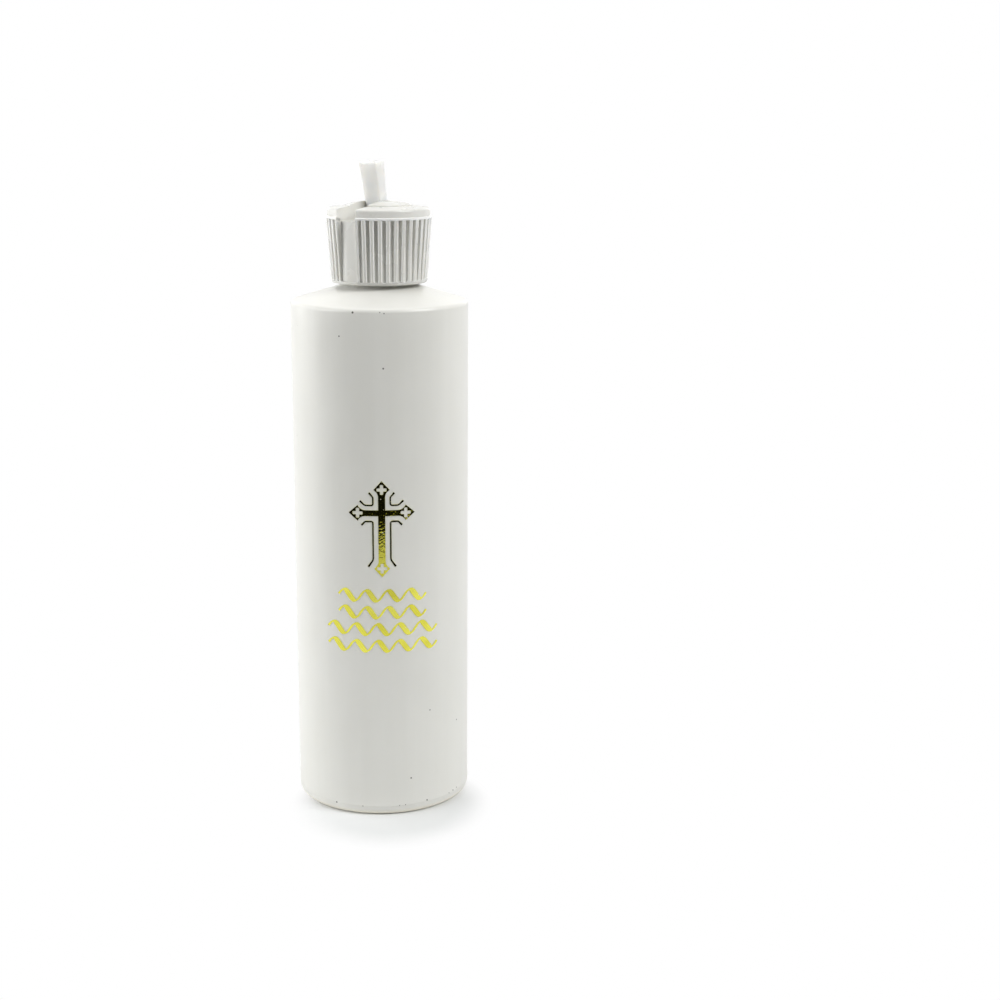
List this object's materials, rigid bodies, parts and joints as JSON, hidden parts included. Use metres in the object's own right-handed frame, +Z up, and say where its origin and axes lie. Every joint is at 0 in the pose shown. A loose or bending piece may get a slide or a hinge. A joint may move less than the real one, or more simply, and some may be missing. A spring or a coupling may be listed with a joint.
{
  "type": "squeeze bottle with flip-spout cap",
  "caption": "Round white plastic squeeze bottle with a ribbed screw cap, a fold-down pouring spout and a gold foil cross printed on the front.",
  "frame": {"origin": "centre of the ring that the bottle stands on, on the table plane", "axes": "+Z up along the bottle's axis, -Y towards the printed front, +X to the right of someone who looks at the print"},
  "size_m": [0.05, 0.0501, 0.1841],
  "materials": {
    "bottle_plastic": "satin white blow-moulded polyethylene",
    "seal_foam": "matt white foamed polyethylene",
    "cap_plastic": "satin white moulded polypropylene",
    "spout_plastic": "satin white moulded polyethylene",
    "gold_foil": "mirror gold hot-stamped foil"
  },
  "bodies": {
    "bottle": {"bottle": "bottle_plastic", "foil_cross": "gold_foil", "foil_border": "gold_foil", "foil_waves": "gold_foil"},
    "neck_seal": {"neck_seal": "seal_foam"},
    "cap": {"cap": "cap_plastic"},
    "spout": {"spout": "spout_plastic"}
  },
  "joints": [
    {"name": "cap_lift", "type": "slide", "parent": "bottle", "child": "neck_seal", "axis": [0, 0, 1], "range_m": [0, 0.02224]},
    {"name": "cap_turn", "type": "hinge", "parent": "neck_seal", "child": "cap", "pos_m": [0, 0, 0.1667], "axis": [0, 0, 1], "range_deg": [0, 2520]},
    {"name": "spout_flip", "type": "hinge", "parent": "cap", "child": "spout", "pos_m": [-0.00064, -0.00077, 0.1702], "axis": [0.7716, -0.6361, 0], "range_deg": [-8, 82]}
  ],
  "couplings": [
    {"joint": "cap_lift", "follows": "cap_turn", "m_per_rad": 0.00050532}
  ]
}
